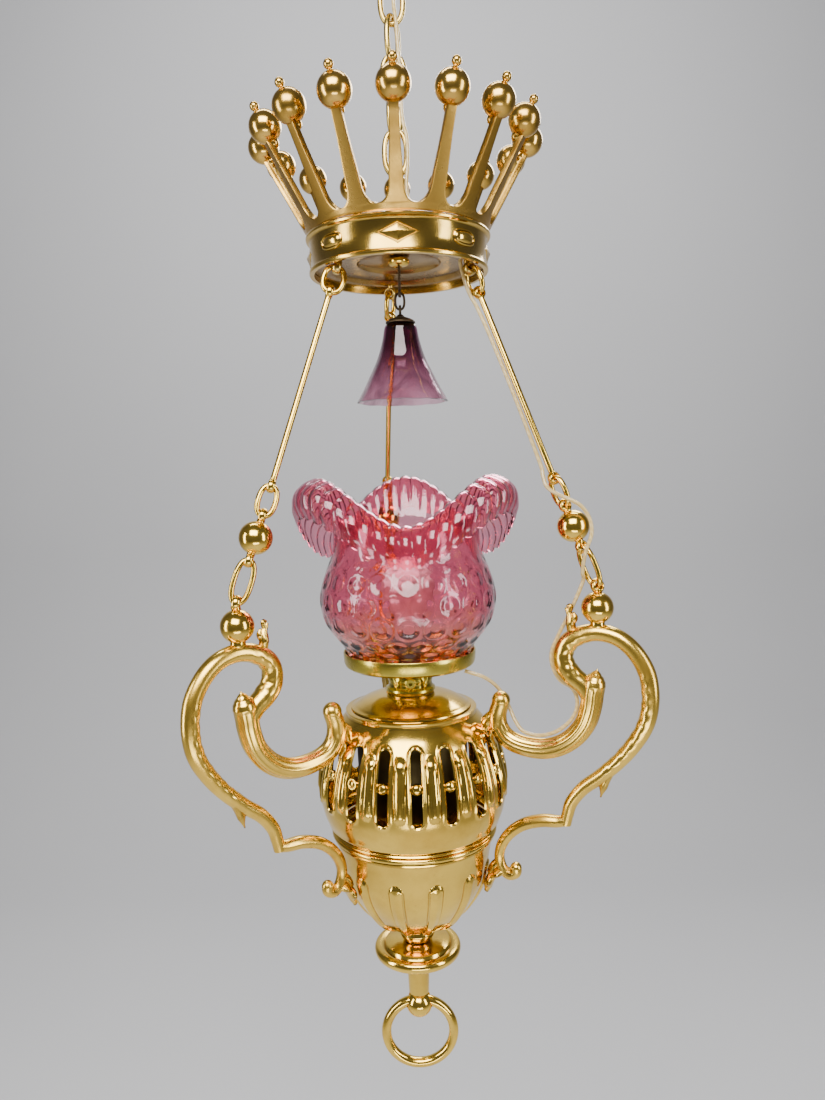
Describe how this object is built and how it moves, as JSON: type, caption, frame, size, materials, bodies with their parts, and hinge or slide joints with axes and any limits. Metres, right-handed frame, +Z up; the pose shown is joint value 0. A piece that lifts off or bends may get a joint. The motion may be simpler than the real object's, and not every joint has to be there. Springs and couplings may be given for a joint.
{
  "type": "sanctuary lamp",
  "caption": "Hanging sanctuary lamp: chain, jewelled crown, rods to scroll arms, pierced urn with finial ring, ruffled cranberry glass shade, and glass smoke bell.",
  "frame": {"origin": "centre of the ceiling plate's flat top face, on the lamp's axis", "axes": "+Z up out of the ceiling plate along the lamp's axis; -Y is the front, where a lozenge jewel of the crown sits; +X to the right seen from the front"},
  "size_m": [0.345, 0.3231, 0.9271],
  "materials": {
    "chain_brass": "satin",
    "crown_brass": "antique satin",
    "polished_brass": "polished, aged",
    "pale_brass": "polished, greenish",
    "dark_wire": "dark twisted wire",
    "cranberry_glass": "clear coloured glass",
    "bulb_glass": "frosted",
    "holder_shell": "matt",
    "gold_flex": "see-through gold sheath"
  },
  "bodies": {
    "ceiling": {"ceiling_plate": "chain_brass", "ceiling_hook": "chain_brass"},
    "link_1": {"chain_link_1": "chain_brass"},
    "link_2": {"chain_link_2": "chain_brass"},
    "link_3": {"chain_link_3": "chain_brass"},
    "link_4": {"chain_link_4": "chain_brass"},
    "link_5": {"chain_link_5": "chain_brass"},
    "crown": {"crown_eye_bolt": "chain_brass", "crown_nut": "polished_brass", "crown_plate": "crown_brass", "crown_band": "crown_brass", "coronet": "crown_brass", "crown_eye_1": "polished_brass", "crown_eye_2": "polished_brass", "crown_eye_3": "polished_brass", "bell_hook": "dark_wire", "cord_chain": "gold_flex"},
    "bell_hanger": {"bell_link": "dark_wire"},
    "bell": {"bell_cap": "polished_brass", "smoke_bell": "cranberry_glass"},
    "strand_1": {"top_link_1": "polished_brass", "hanger_rod_1": "polished_brass", "mid_link_1": "polished_brass", "mid_ball_1": "polished_brass", "low_link_1": "polished_brass"},
    "strand_2": {"top_link_2": "polished_brass", "hanger_rod_2": "polished_brass", "mid_link_2": "polished_brass", "mid_ball_2": "polished_brass", "low_link_2": "polished_brass"},
    "strand_3": {"top_link_3": "polished_brass", "hanger_rod_3": "polished_brass", "mid_link_3": "polished_brass", "mid_ball_3": "polished_brass", "low_link_3": "polished_brass", "cord_strand": "gold_flex"},
    "lamp": {"urn_upper": "polished_brass", "urn_lower": "polished_brass", "base_disc": "polished_brass", "finial_ball": "polished_brass", "oil_font": "polished_brass", "burner_collar": "pale_brass", "gallery": "pale_brass", "lamp_holder": "holder_shell", "bulb": "bulb_glass", "arm_ball_1": "polished_brass", "arm_ball_2": "polished_brass", "arm_ball_3": "polished_brass", "scroll_arm_1": "polished_brass", "scroll_arm_2": "polished_brass", "scroll_arm_3": "polished_brass", "cord_arm": "gold_flex"},
    "shade": {"glass_shade": "cranberry_glass"},
    "ring": {"pull_ring": "polished_brass"}
  },
  "joints": [
    {"name": "chain_1_swing", "type": "hinge", "parent": "ceiling", "child": "link_1", "pos_m": [0, 0, -0.03465], "axis": [0, 1, 0], "range_deg": [-20, 20], "deforming": ["cord_chain"]},
    {"name": "chain_2_swing", "type": "hinge", "parent": "link_1", "child": "link_2", "pos_m": [0, 0, -0.06275], "axis": [1, 0, 0], "range_deg": [-20, 20]},
    {"name": "chain_3_swing", "type": "hinge", "parent": "link_2", "child": "link_3", "pos_m": [0, 0, -0.09115], "axis": [0.4848, 0.8746, 0], "range_deg": [-20, 20]},
    {"name": "chain_4_swing", "type": "hinge", "parent": "link_3", "child": "link_4", "pos_m": [0, 0, -0.11955], "axis": [1, 0, 0], "range_deg": [-20, 20]},
    {"name": "chain_5_swing", "type": "hinge", "parent": "link_4", "child": "link_5", "pos_m": [0, 0, -0.14795], "axis": [0.4848, 0.8746, 0], "range_deg": [-20, 20]},
    {"name": "crown_swing", "type": "hinge", "parent": "link_5", "child": "crown", "pos_m": [0, 0, -0.17635], "axis": [1, 0, 0], "range_deg": [-20, 20]},
    {"name": "bell_link_swing", "type": "hinge", "parent": "crown", "child": "bell_hanger", "pos_m": [0, 0, -0.2702], "axis": [0, 1, 0], "range_deg": [-22, 22]},
    {"name": "bell_swing", "type": "hinge", "parent": "bell_hanger", "child": "bell", "pos_m": [0, 0, -0.2803], "axis": [1, 0, 0], "range_deg": [-20, 20]},
    {"name": "lamp_twist", "type": "hinge", "parent": "crown", "child": "lamp", "pos_m": [0, 0, -0.255], "axis": [0, 0, 1], "range_deg": [-5, 5]},
    {"name": "strand_1_swing", "type": "hinge", "parent": "crown", "child": "strand_1", "pos_m": [-0.00821, 0.05843, -0.255], "axis": [-0.1392, 0.9903, 0], "range_deg": [-3.3, 3.3]},
    {"name": "strand_2_swing", "type": "hinge", "parent": "crown", "child": "strand_2", "pos_m": [-0.04649, -0.03632, -0.255], "axis": [-0.788, -0.6157, 0], "range_deg": [-3.3, 3.3]},
    {"name": "strand_3_swing", "type": "hinge", "parent": "crown", "child": "strand_3", "pos_m": [0.0547, -0.0221, -0.255], "axis": [0.9272, -0.3746, 0], "range_deg": [-3.3, 3.3], "deforming": ["cord_strand"]},
    {"name": "shade_lift", "type": "slide", "parent": "lamp", "child": "shade", "axis": [0, 0, 1], "range_m": [0, 0.04]},
    {"name": "ring_swing", "type": "hinge", "parent": "lamp", "child": "ring", "pos_m": [0, 0, -0.8652], "axis": [1, 0, 0], "range_deg": [-80, 80]}
  ],
  "couplings": [
    {"joint": "strand_1_swing", "follows": "lamp_twist", "ratio": 0.6327},
    {"joint": "strand_2_swing", "follows": "lamp_twist", "ratio": 0.6327},
    {"joint": "strand_3_swing", "follows": "lamp_twist", "ratio": 0.6327}
  ]
}
